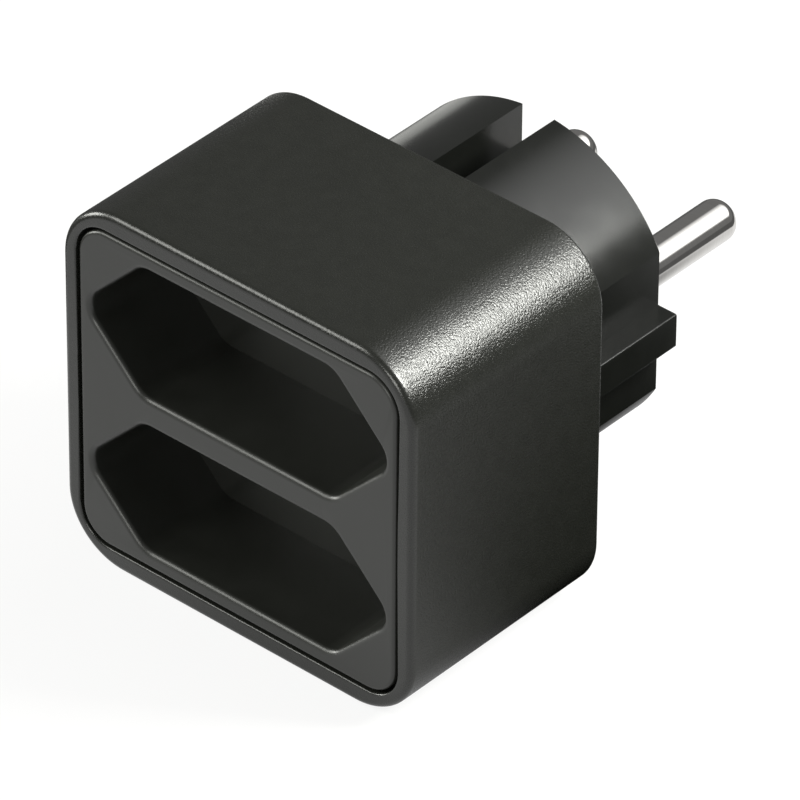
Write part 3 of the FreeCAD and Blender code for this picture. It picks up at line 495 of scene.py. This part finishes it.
def barrel(inset):
    """The barrel's outline: a circle with two flats, a guide rib on each and a slot above and below.

    The first quarter runs from the right rib, round its edge, over the flat and along
    radius * (cos a, sin a) to the slot. The other three quarters mirror it. An inset draws all of it in.
    """
    radius, flat_x, rib_x, rib_half, slot_floor = (
        size - inset for size in (BARREL_RADIUS, BARREL_FLAT, RIB_REACH, RIB_HALF, SLOT_FLOOR))
    slot_half = SLOT_HALF + inset
    rib_edge = (rib_x, rib_half) - RIB_ROUND * (1 - arc(1, 0, math.pi / 2, count=6))
    quarter = np.concatenate([
        [(rib_x, 0)], rib_edge, [(flat_x, rib_half)],
        arc(radius, math.acos(flat_x / radius), math.acos(slot_half / radius), count=41),
        [(slot_half, slot_floor), (0, slot_floor)]])
    half = np.concatenate([quarter, quarter[-2::-1] * (-1, 1)])
    return np.concatenate([half, half[-2:0:-1] * (1, -1)])


def hollow_outline():
    """The hollow's outline: a circle with a flat at each side and a wide notch over each slot."""
    quarter = np.concatenate([
        arc(HOLLOW_RADIUS, math.acos(HOLLOW_FLAT / HOLLOW_RADIUS),
            math.acos(HOLLOW_SLOT_HALF / HOLLOW_RADIUS), count=33),
        [(HOLLOW_SLOT_HALF, HOLLOW_SLOT_FLOOR)]])
    half = np.concatenate([quarter, quarter[::-1] * (-1, 1)])
    return np.concatenate([half, half[::-1] * (1, -1)])


def plug_surfaces():
    """The barrel with its bevelled end, the recessed pin holes, the flange and the hollow inside."""
    hollow = hollow_outline()
    flange = outline(box_corners(FLANGE_HALF, CASE_MIDDLE), FLANGE_CORNER)
    recesses, holes = ([circle(side * PIN_X, 0.0, radius) for side in (1, -1)]
                       for radius in (RECESS_RADIUS, PIN_HOLE_RADIUS))
    surfaces = [
        band([(barrel(0), REAR_WALL_FRONT), (barrel(0), -BARREL_BEVEL), (barrel(BARREL_BEVEL), 0.0)]),
        flat([barrel(BARREL_BEVEL)] + recesses, 0.0, 1),
        flat([hollow] + holes, HOLLOW_END, -1),
        band([(hollow, HOLLOW_END), (hollow, FLANGE_FRONT)]),
        flat([flange, hollow], FLANGE_FRONT, -1),
        band([(flange, FLANGE_FRONT), (flange, REAR_WALL_FRONT)]),
        flat([flange, barrel(0)], REAR_WALL_FRONT, 1),
    ]
    surfaces += [band([(recess, 0.0), (recess, -RECESS_DEPTH), (hole, -RECESS_DEPTH), (hole, HOLLOW_END)])
                 for recess, hole in zip(recesses, holes)]
    return surfaces


build_piece("plug_body_barrel", plug_surfaces(),
            satin_abs("satin_abs_plug", "#111210", "#161715", 0.18, 0.23), "housing", "plug_plastic",
            "plug_body")

# The two pins: turned from brass rod, nickel plated and bright, with well-rounded tips. Each is held
# by its neck behind the plug's end face, and its tail is riveted to a busbar.
PIN_RADIUS = 2.4
PIN_TIP = 19.0
TIP_EDGE = 1.8


def pin_profile():
    """Radius and depth from the riveted head to the tip, whose edge is a quarter of a circle."""
    head = [(2.2, -22.5), (2.2, -21.9)]
    tail = [(1.5, -21.9), (1.5, -21.1)]
    shank = [(PIN_RADIUS, -21.1), (PIN_RADIUS, -10.2)]
    collar = [(3.0, -10.2), (3.0, -9.0)]
    neck = [(2.1, -9.0), (2.1, -0.25)]
    t = np.linspace(0, math.pi / 2, 15)
    dome = list(zip(PIN_RADIUS - TIP_EDGE * (1 - np.cos(t)), PIN_TIP - TIP_EDGE * (1 - np.sin(t))))
    return head + tail + shank + collar + neck + [(PIN_RADIUS, -0.25)] + dome


def nickel_plate():
    """Bright nickel over turned brass: mirror-like, with faint turning marks round the pin.

    The marks are noise drawn out round the pin: 1/3 mm apart along it, and 17 mm long.
    """
    marks_per_metre = (60.0, 3000.0, 60.0)
    material, tree, place = new_material("bright_nickel_plate")
    drawn_out = add_node(tree, "Mapping", {}, {"Vector": place, "Scale": marks_per_metre}).outputs[0]
    marks = add_node(tree, "TexNoise", {}, {
        "Vector": drawn_out, "Scale": 1.0, "Detail": 2.0}).outputs["Fac"]
    colour = add_node(tree, "Mix", {"data_type": "RGBA"}, {
        FACTOR: marks, DARK: linear("#dedcd8"), LIGHT: linear("#ebe9e6")})
    rough = add_node(tree, "MapRange", {}, {
        "Value": marks, "From Min": NOISE_LOW, "From Max": NOISE_HIGH, "To Min": 0.05, "To Max": 0.10})
    relief = add_node(tree, "Bump", {}, {"Strength": 0.05, "Distance": 0.01 / 1000, "Height": marks})
    plate = add_node(tree, "BsdfPrincipled", {}, {
        "Base Color": colour.outputs[MIXED], "Roughness": rough.outputs[0], "Metallic": 1.0,
        "Normal": relief.outputs[0]})
    add_node(tree, "OutputMaterial", {}, {"Surface": plate.outputs[0]})
    return material


nickel = nickel_plate()
for word, side in (("left", -1), ("right", 1)):
    build_piece(f"plug_pin_{word}_turned", [round_bar(pin_profile(), (side * PIN_X, 0.0))],
                nickel, "housing", "nickel_plate", f"plug_pin_{word}")

# The return springs of the shutters: drawn steel wire wound in five and a half turns along X, each
# caught between a spigot on its shutter and one on the end wall of its channel.
COIL_RADIUS = 1.2
COIL_TURNS = 5.5
COIL_STATIONS = 265
COIL_SPAN = (12.05, 19.95)
WIRE_RADIUS = 0.18
WIRE_SIDES = 12


def coil_spring(height):
    """A wire tube along a helix, closed at both ends.

    The helix is (start + climb * u, middle + radius * cos u, height + radius * sin u). The tube's
    circles lie square to it, in the plane of its normal and binormal. Their order turns the quads
    inwards, so these are turned over.
    """
    start, end = COIL_SPAN[0] + WIRE_RADIUS, COIL_SPAN[1] - WIRE_RADIUS
    u = np.linspace(0, COIL_TURNS * 2 * math.pi, COIL_STATIONS)
    climb = (end - start) / (COIL_TURNS * 2 * math.pi)
    zero = np.zeros_like(u)
    spine = np.stack([start + climb * u, SPRING_Y + COIL_RADIUS * np.cos(u),
                      height + COIL_RADIUS * np.sin(u)], 1)
    inward = np.stack([zero, -np.cos(u), -np.sin(u)], 1)
    heading = np.stack([climb + zero, -COIL_RADIUS * np.sin(u), COIL_RADIUS * np.cos(u)], 1)
    heading /= np.linalg.norm(heading, axis=1, keepdims=True)
    aside = np.cross(heading, inward)
    v = np.linspace(0, 2 * math.pi, WIRE_SIDES, endpoint=False)
    around = np.cos(v)[None, :, None] * inward[:, None] + np.sin(v)[None, :, None] * aside[:, None]
    first, last = (np.repeat(point[:, None], WIRE_SIDES, 1) for point in (spine[:1], spine[-1:]))
    points, faces, smooth = skin_over(np.concatenate([first, spine[:, None] + WIRE_RADIUS * around, last]))
    return points, faces[:, [0, 3, 2, 1]], smooth


def metal(name, dark, light, low, high, marks_width):
    """A plain worked metal, with rolling or drawing marks of the given width as colour and roughness."""
    material, tree, place = new_material(name)
    marks = add_node(tree, "TexNoise", {}, {
        "Vector": place, "Scale": 1000 / marks_width, "Detail": 3.0}).outputs["Fac"]
    colour = add_node(tree, "Mix", {"data_type": "RGBA"}, {
        FACTOR: marks, DARK: linear(dark), LIGHT: linear(light)})
    rough = add_node(tree, "MapRange", {}, {
        "Value": marks, "From Min": NOISE_LOW, "From Max": NOISE_HIGH, "To Min": low, "To Max": high})
    skin = add_node(tree, "BsdfPrincipled", {}, {
        "Base Color": colour.outputs[MIXED], "Roughness": rough.outputs[0], "Metallic": 1.0})
    add_node(tree, "OutputMaterial", {}, {"Surface": skin.outputs[0]})
    return material


spring_steel = metal("drawn_spring_steel", "#8d8c88", "#a9a8a4", 0.25, 0.4, 0.2)
for word, height in zip(("upper", "lower"), WELL_HEIGHTS):
    spring = build_piece(f"shutter_spring_{word}_coil", [coil_spring(height)], spring_steel, "housing",
                         "spring_steel", f"shutter_spring_{word}")
    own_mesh(spring)

# The pieces inside keep their CAD shapes: shutters of slippery acetal, a heat-proof carrier, retainer
# and pin bridge, and the brass contacts with their rivets, stamped from half-hard strip.
def finish_nodes(material, *nodes):
    """Gives CAD nodes their finish through their own material slots."""
    for node in nodes:
        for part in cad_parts[node].material_slots:
            part.link = "OBJECT"
            part.material = material


finish_nodes(satin_abs("dark_acetal", "#242523", "#2a2b29", 0.3, 0.4), "shutter_upper", "shutter_lower")
finish_nodes(satin_abs("heatproof_polyamide", "#a09e94", "#b0aea4", 0.5, 0.62),
             "contact_carrier", "shutter_retainer", "pin_bridge")
finish_nodes(metal("half_hard_brass", "#b08d4c", "#c9a765", 0.24, 0.38, 0.4),
             "busbar_left", "busbar_right", "contact_clip_upper_left", "contact_clip_upper_right",
             "contact_clip_lower_left", "contact_clip_lower_right", "clip_rivets")

# The studio: a wide white floor under the case's flat underside, in a white room. Only the camera sees
# both as white. For all other rays the floor has painted shade beside and behind the case, and the room
# is bright at the back right alone. Four softboxes and a small hidden card by the plug light the object.
WHITE = (1, 1, 1, 1)
FLOOR_HALF = 4
FLOOR_LEVEL = -0.02285
FLOOR_GLOW = 0.88  # the floor's strength for rays that aren't the camera's
ROOM_DIM, ROOM_BRIGHT = 0.17, 2.1
LAMP_COLOUR = (0.99, 1.0, 0.945)
LAMP_AIM = Vector((0, -0.02, 0))


def white_floor():
    """Painted board that the camera sees with a soft shadow near the object, and plain white far off.

    Other rays see a glow: the least of one that fades to black inside an ellipse at the right, and two
    that fade beyond a straight line, one behind the case and one at its left. All three dark parts are
    painted shade in the glow, which the case and plug reflect and are lit by.
    """
    speck_width = 8.0
    material, tree, place = new_material("white_painted_board")
    specks = add_node(tree, "TexNoise", {}, {
        "Vector": place, "Scale": 1000 / speck_width, "Detail": 2.0}).outputs["Fac"]
    colour = add_node(tree, "Mix", {"data_type": "RGBA"}, {
        FACTOR: specks, DARK: linear("#f4f4f2"), LIGHT: linear("#f8f8f6")})
    paint = add_node(tree, "BsdfDiffuse", {}, {"Color": colour.outputs[MIXED]})
    white = add_node(tree, "Emission", {}, {"Color": WHITE, "Strength": 1.0})
    from_middle = add_node(tree, "VectorMath", {"operation": "LENGTH"}, {0: place})
    white_share = add_node(tree, "MapRange", {"interpolation_type": "SMOOTHSTEP"}, {
        "Value": from_middle.outputs["Value"], "From Min": 0.15, "From Max": 0.45,
        "To Min": 0.85, "To Max": 1.0})
    seen = add_node(tree, "MixShader", {}, {
        0: white_share.outputs[0], 1: paint.outputs[0], 2: white.outputs[0]})
    # The glow fades to black inside this ellipse: a painted shadow on the floor right of the case.
    ellipse = add_node(tree, "Mapping", {"vector_type": "TEXTURE"}, {
        "Vector": place, "Location": (0.034, 0.0, 0), "Rotation": (0, 0, math.radians(48.8)),
        "Scale": (0.080, 0.038, 1)})
    from_painted_shadow = add_node(tree, "VectorMath", {"operation": "LENGTH"}, {0: ellipse.outputs[0]})
    glow = add_node(tree, "MapRange", {"interpolation_type": "SMOOTHSTEP"}, {
        "Value": from_painted_shadow.outputs["Value"], "From Min": 0.3, "From Max": 1.0,
        "To Min": 0.0, "To Max": FLOOR_GLOW})
    # Beyond each line the glow fades down: painted shade on the floor behind the case and at its left.
    for towards, start, end, least in (((0.766, 0.643, 0), 0.068, 0.086, 0.10),
                                       ((-0.9, 0.436, 0), 0.028, 0.048, 0.12)):
        distance = add_node(tree, "VectorMath", {"operation": "DOT_PRODUCT"}, {0: place, 1: towards})
        painted_far_dark = add_node(tree, "MapRange", {"interpolation_type": "SMOOTHSTEP"}, {
            "Value": distance.outputs["Value"], "From Min": start, "From Max": end,
            "To Min": FLOOR_GLOW, "To Max": least})
        glow = add_node(tree, "Math", {"operation": "MINIMUM"}, {0: glow.outputs[0], 1: painted_far_dark.outputs[0]})
    glowing = add_node(tree, "Emission", {}, {"Color": WHITE, "Strength": glow.outputs[0]})
    rays = add_node(tree, "LightPath", {}, {})
    chosen = add_node(tree, "MixShader", {}, {
        0: rays.outputs["Is Camera Ray"], 1: glowing.outputs[0], 2: seen.outputs[0]})
    add_node(tree, "OutputMaterial", {}, {"Surface": chosen.outputs[0]})
    return material


def studio_room():
    """A world that is white for the camera and, for other rays, bright only at the back right.

    The brightness rises with the cosine to the bright part's middle, and less so low over the floor.
    """
    bright_middle = Vector((0.434, 0.605, 0.668)).normalized()
    world = bpy.data.worlds.new("studio_room")
    world.use_nodes = True
    tree = world.node_tree
    tree.nodes.clear()
    direction = add_node(tree, "TexCoord", {}, {}).outputs["Generated"]
    cosine = add_node(tree, "VectorMath", {"operation": "DOT_PRODUCT"}, {0: direction, 1: bright_middle})
    upwards = add_node(tree, "SeparateXYZ", {}, {"Vector": direction}).outputs["Z"]
    peak = add_node(tree, "MapRange", {"interpolation_type": "SMOOTHSTEP"}, {
        "Value": upwards, "From Min": 0.33, "From Max": 0.47, "To Min": ROOM_DIM, "To Max": ROOM_BRIGHT})
    brightness = add_node(tree, "MapRange", {}, {
        "Value": cosine.outputs["Value"], "From Min": 0.75, "From Max": 1.0,
        "To Min": ROOM_DIM, "To Max": peak.outputs[0]})
    dim = add_node(tree, "Background", {}, {"Color": WHITE, "Strength": brightness.outputs[0]})
    white = add_node(tree, "Background", {}, {"Color": WHITE, "Strength": 1.0})
    rays = add_node(tree, "LightPath", {}, {})
    chosen = add_node(tree, "MixShader", {}, {
        0: rays.outputs["Is Camera Ray"], 1: dim.outputs[0], 2: white.outputs[0]})
    add_node(tree, "OutputWorld", {}, {"Surface": chosen.outputs[0]})
    return world


def softbox(name, towards, distance, size, power):
    """A rectangular lamp at a distance along a direction, turned to face the case."""
    lamp = bpy.data.lights.new(name, "AREA")
    lamp.shape, lamp.size, lamp.size_y, lamp.energy = "RECTANGLE", size[0], size[1], power
    lamp.color = LAMP_COLOUR
    holder = new_object(name, lamp)
    holder.location = LAMP_AIM + Vector(towards).normalized() * distance
    holder.rotation_euler = (LAMP_AIM - holder.location).to_track_quat("-Z", "Y").to_euler()
    return holder


floor_mesh = bpy.data.meshes.new("studio_floor")
floor_mesh.from_pydata([(x * FLOOR_HALF, y * FLOOR_HALF, FLOOR_LEVEL)
                        for x, y in ((-1, -1), (1, -1), (1, 1), (-1, 1))], [], [(0, 1, 2, 3)])
floor_mesh.materials.append(white_floor())
studio_floor = new_object("studio_floor", floor_mesh)

scene = bpy.context.scene
scene.view_settings.view_transform = "Standard"
scene.world = studio_room()

softbox("key_softbox", (0.64, 0.37, 0.66), 0.22, (0.06, 0.11), 0.82)
softbox("left_softbox", (-0.90, -0.30, 0.20), 0.9, (0.3, 0.36), 5.0)
softbox("fill_softbox", (-0.53, -0.60, 0.60), 0.9, (0.40, 0.40), 3.8)
softbox("front_softbox", (0.30, -0.88, 0.35), 0.9, (0.3, 0.3), 2.5)
barrel_card = softbox("barrel_card", (-0.070, 0.061, -0.004), 0.093, (0.024, 0.030), 0.0018)
barrel_card.visible_camera = False

# The camera: a long lens at the photograph's angle, rolled by half a degree, as the photo was. It looks
# past the case's middle by a few millimetres, instead of a lens shift, on a 36 mm square picture.
AZIMUTH, ELEVATION, ROLL = (math.radians(angle) for angle in (41.15377, 36.46946, 0.43743))
CASE_POINT = Vector((0, -0.01695, -0.0005))
DISTANCE, LEFTWARDS, DOWNWARDS = 0.94053, 0.0030379, 0.0068791  # from CASE_POINT
LENS_MM, SENSOR_MM = 413.21, 36.0

backwards = Vector((math.sin(AZIMUTH) * math.cos(ELEVATION), -math.cos(AZIMUTH) * math.cos(ELEVATION),
                    math.sin(ELEVATION)))
level_right = Vector((math.cos(AZIMUTH), math.sin(AZIMUTH), 0))
level_up = backwards.cross(level_right)
right = math.cos(ROLL) * level_right + math.sin(ROLL) * level_up
up = math.cos(ROLL) * level_up - math.sin(ROLL) * level_right
camera_data = bpy.data.cameras.new("photo_camera")
camera_data.sensor_width = SENSOR_MM
camera_data.lens = LENS_MM
camera_data.clip_end = 20.0
camera = new_object("photo_camera", camera_data)
standpoint = CASE_POINT + DISTANCE * backwards - LEFTWARDS * right - DOWNWARDS * up
camera.matrix_world = (Matrix.Translation(standpoint)
                       @ Matrix((right, up, backwards)).transposed().to_4x4())
scene.camera = camera
